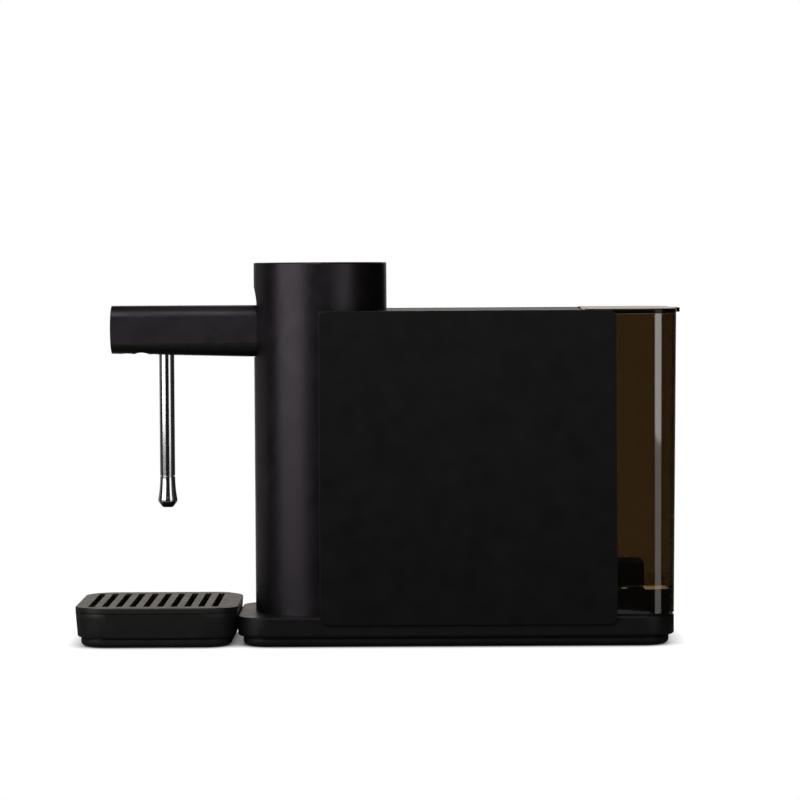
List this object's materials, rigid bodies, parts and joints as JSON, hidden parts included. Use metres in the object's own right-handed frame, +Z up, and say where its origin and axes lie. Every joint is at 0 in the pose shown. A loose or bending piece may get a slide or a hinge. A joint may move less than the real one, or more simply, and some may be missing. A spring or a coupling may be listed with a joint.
{
  "type": "pod coffee machine",
  "caption": "Pod coffee machine with a round tower, a lifting brew lever with a drop spout, flat side panels, a smoked rear water tank and a slotted drip tray.",
  "frame": {"origin": "midway along the length and the width, on the worktop under the feet", "axes": "+X from the drip tray at the front to the water tank at the rear, +Y across to the far side panel, +Z up"},
  "size_m": [0.3962, 0.118, 0.249],
  "materials": {
    "base_black": "fine satin texture",
    "plinth_black": "matte",
    "rubber": "matte",
    "steel": "machined",
    "tower_black": "satin anodised black",
    "inner_black": "moulded",
    "cast_alloy": "as cast",
    "hatch_black": "satin",
    "housing_black": "fine satin texture",
    "panel_black": "flat black powder coat",
    "gasket": "silicone",
    "hose": "translucent silicone",
    "inner_white": "moulded",
    "pump_metal": "plated",
    "board_green": "solder mask",
    "arm_black": "satin",
    "underside_black": "satin",
    "bronze": "sintered",
    "chrome": "polished",
    "nozzle_black": "moulded",
    "lens_black": "gloss",
    "dial_black": "satin, fluted edge",
    "smoked_clear": "clear smoked brown",
    "lid_black": "smooth",
    "grille_black": "satin"
  },
  "bodies": {
    "machine": {"base_housing": "base_black", "base_plate": "plinth_black", "base_feet": "rubber", "base_screws": "steel", "cord_gland": "rubber", "tower_shell": "tower_black", "tower_chassis": "inner_black", "brew_frame": "cast_alloy", "guide_rods": "steel", "lever_pin": "steel", "hatch_rear_cap": "hatch_black", "hatch_pin": "steel", "body_housing": "housing_black", "side_panel_near": "panel_black", "side_panel_far": "panel_black", "tank_pedestal": "inner_black", "tank_seal": "gasket", "suction_hose": "hose", "flow_meter": "inner_white", "pump_hose": "hose", "pump": "pump_metal", "pump_saddles": "rubber", "feed_hose": "hose", "thermoblock": "cast_alloy", "heater_posts": "inner_black", "hot_hose": "hose", "control_board": "board_green"},
    "lever": {"arm_shell": "arm_black", "arm_underside": "underside_black", "arm_screws": "steel", "lever_fork": "cast_alloy", "lever_bushes": "bronze", "drive_pin": "steel", "coffee_duct": "hose", "spout_block": "inner_black", "spout_tube": "chrome"},
    "spout_end": {"spout_inner_tube": "steel", "spout_flare": "chrome", "spout_nozzle": "nozzle_black"},
    "pod_holder": {"pod_cup": "cast_alloy", "pierce_plate": "steel", "holder_bushes": "bronze", "brew_hose": "hose"},
    "hatch": {"hatch_lid": "hatch_black", "injection_head": "cast_alloy", "head_seal": "gasket", "pod_needles": "steel", "display_lens": "lens_black"},
    "dial_button": {"dial_core": "inner_black"},
    "dial": {"dial_knob": "dial_black"},
    "tank": {"tank_shell": "smoked_clear", "filter_box": "inner_black"},
    "tank_valve": {"valve_poppet": "inner_white"},
    "lid": {"tank_lid": "lid_black", "lid_pin": "steel"},
    "tray": {"drip_tray": "base_black", "tray_plinth": "plinth_black", "tray_feet": "rubber"},
    "cup_grille": {"grille": "grille_black"}
  },
  "joints": [
    {"name": "lever_lift", "type": "hinge", "parent": "machine", "child": "lever", "pos_m": [-0.07135, 0, 0.2085], "axis": [0, 1, 0], "range_deg": [0, 32]},
    {"name": "pod_slide", "type": "slide", "parent": "machine", "child": "pod_holder", "axis": [0, 0, 1], "range_m": [-0.0073, 0], "deforming": ["brew_hose"]},
    {"name": "spout_pull", "type": "slide", "parent": "lever", "child": "spout_end", "axis": [0, 0, -1], "range_m": [0, 0.025]},
    {"name": "hatch_open", "type": "hinge", "parent": "machine", "child": "hatch", "pos_m": [-0.00165, 0, 0.2464], "axis": [0, 1, 0], "range_deg": [0, 95]},
    {"name": "dial_press", "type": "slide", "parent": "hatch", "child": "dial_button", "axis": [0, 0, -1], "range_m": [0, 0.0008], "stiffness_N_per_m": 600, "springref_m": -0.001},
    {"name": "dial_turn", "type": "hinge", "parent": "dial_button", "child": "dial", "pos_m": [-0.03815, 0, 0.2475], "axis": [0, 0, 1], "continuous": true},
    {"name": "tank_lift", "type": "slide", "parent": "machine", "child": "tank", "axis": [0, 0, 1], "range_m": [0, 0.21]},
    {"name": "valve_close", "type": "slide", "parent": "tank", "child": "tank_valve", "axis": [0, 0, 1], "range_m": [-0.0027, 0]},
    {"name": "lid_open", "type": "hinge", "parent": "tank", "child": "lid", "pos_m": [0.13645, 0, 0.21675], "axis": [0, -1, 0], "range_deg": [0, 100]},
    {"name": "tray_pull", "type": "slide", "parent": "machine", "child": "tray", "axis": [-1, 0, 0], "range_m": [0, 0.12]},
    {"name": "grille_lift", "type": "slide", "parent": "tray", "child": "cup_grille", "axis": [0, 0, 1], "range_m": [0, 0.04]}
  ],
  "couplings": [
    {"joint": "pod_slide", "follows": "lever_lift", "m_per_rad": -0.01283},
    {"joint": "valve_close", "follows": "tank_lift", "ratio": -0.01238}
  ]
}
